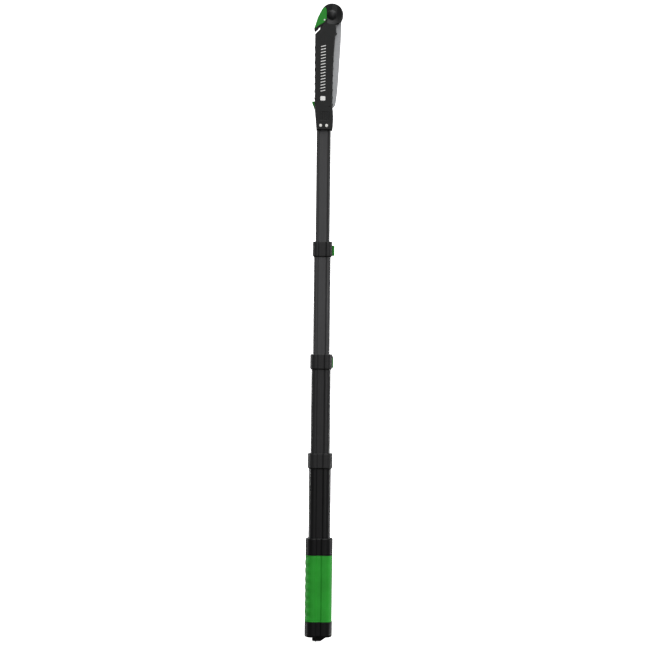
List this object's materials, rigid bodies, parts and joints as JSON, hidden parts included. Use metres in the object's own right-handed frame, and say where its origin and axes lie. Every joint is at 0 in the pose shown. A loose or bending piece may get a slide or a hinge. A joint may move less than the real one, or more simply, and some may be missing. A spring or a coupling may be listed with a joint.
{
  "type": "telescoping pole saw",
  "caption": "Long pruning saw: a folding saw head on a telescoping pole of nested grooved tubes, held by flip-lever clamps, with a rubber hand grip and a lanyard lug.",
  "frame": {"origin": "middle of the hand grip, on the pole's axis", "axes": "+Z along the pole towards the saw head, +X towards the back of the folded blade, -Y towards the head's striped face"},
  "size_m": [0.0667, 0.0509, 1.332],
  "materials": {
    "black_plastic": "satin moulded black nylon, fine grain",
    "dome_plastic": "satin black cap over the pivot screw",
    "anodised_tube": "satin black anodised extrusion",
    "grip_rubber": "soft green rubber with moulded dimples",
    "green_plastic": "satin green nylon",
    "slide_plastic": "natural acetal",
    "brake_rubber": "hard black rubber",
    "blade_steel": "ground and brushed saw steel",
    "bright_steel": "bright zinc plated steel",
    "spring_steel": "drawn spring wire",
    "bronze": "sintered bronze",
    "white_print": "white pad print"
  },
  "bodies": {
    "handle": {"outer_tube": "anodised_tube", "grip_core": "black_plastic", "grip_sleeve": "grip_rubber", "grip_collar": "black_plastic", "butt_cap": "black_plastic", "clamp_3_body": "black_plastic", "clamp_3_wiper": "slide_plastic", "clamp_3_shoe": "brake_rubber", "clamp_3_pin": "bright_steel"},
    "stage_3": {"tube_3": "anodised_tube", "tube_3_guide": "slide_plastic", "clamp_2_body": "black_plastic", "clamp_2_wiper": "slide_plastic", "clamp_2_shoe": "brake_rubber", "clamp_2_pin": "bright_steel"},
    "stage_2": {"tube_2": "anodised_tube", "tube_2_guide": "slide_plastic", "clamp_1_body": "black_plastic", "clamp_1_wiper": "slide_plastic", "clamp_1_shoe": "brake_rubber", "clamp_1_pin": "bright_steel"},
    "saw_head": {"tube_1": "anodised_tube", "tube_1_guide": "slide_plastic", "head_front_shell": "black_plastic", "head_rear_shell": "black_plastic", "tube_rivets": "bright_steel", "pivot_bolt": "dome_plastic", "pivot_nut": "dome_plastic", "pivot_bushing": "bronze", "blade_washers": "bright_steel", "lock_pin": "bright_steel", "lock_spring": "spring_steel", "shell_screws": "bright_steel", "keeper_spring": "spring_steel", "side_stripes": "white_print"},
    "blade": {"blade": "blade_steel"},
    "lock": {"lock_lever": "black_plastic", "lock_cover": "green_plastic"},
    "keeper": {"keeper_button": "green_plastic"},
    "lever_1": {"clamp_1_lever": "green_plastic"},
    "lever_2": {"clamp_2_lever": "green_plastic"},
    "lever_3": {"clamp_3_lever": "green_plastic"}
  },
  "joints": [
    {"name": "stage_3_slide", "type": "slide", "parent": "handle", "child": "stage_3", "axis": [0, 0, 1], "range_m": [-0.1747, 0]},
    {"name": "stage_2_slide", "type": "slide", "parent": "stage_3", "child": "stage_2", "axis": [0, 0, 1], "range_m": [-0.2027, 0]},
    {"name": "stage_1_slide", "type": "slide", "parent": "stage_2", "child": "saw_head", "axis": [0, 0, 1], "range_m": [-0.2323, 0]},
    {"name": "clamp_3_flip", "type": "hinge", "parent": "handle", "child": "lever_3", "pos_m": [-0.0095, 0.02445, 0.2637], "axis": [0, 0, 1], "range_deg": [0, 110]},
    {"name": "clamp_2_flip", "type": "hinge", "parent": "stage_3", "child": "lever_2", "pos_m": [-0.0095, 0.02175, 0.4707], "axis": [0, 0, 1], "range_deg": [0, 110]},
    {"name": "clamp_1_flip", "type": "hinge", "parent": "stage_2", "child": "lever_1", "pos_m": [-0.0095, 0.01905, 0.7057], "axis": [0, 0, 1], "range_deg": [0, 110]},
    {"name": "blade_fold", "type": "hinge", "parent": "saw_head", "child": "blade", "pos_m": [0.0145, 0, 1.1973], "axis": [0, -1, 0], "range_deg": [0, 180]},
    {"name": "lock_release", "type": "hinge", "parent": "saw_head", "child": "lock", "pos_m": [-0.001, 0, 1.186], "axis": [0, -1, 0], "range_deg": [0, 6.5], "stiffness_Nm_per_rad": 0.4, "springref_deg": -6.88, "deforming": ["lock_spring"]},
    {"name": "keeper_press", "type": "slide", "parent": "saw_head", "child": "keeper", "axis": [1, 0, 0], "range_m": [0, 0.0035], "stiffness_N_per_m": 400, "springref_m": -0.002, "deforming": ["keeper_spring"]}
  ]
}
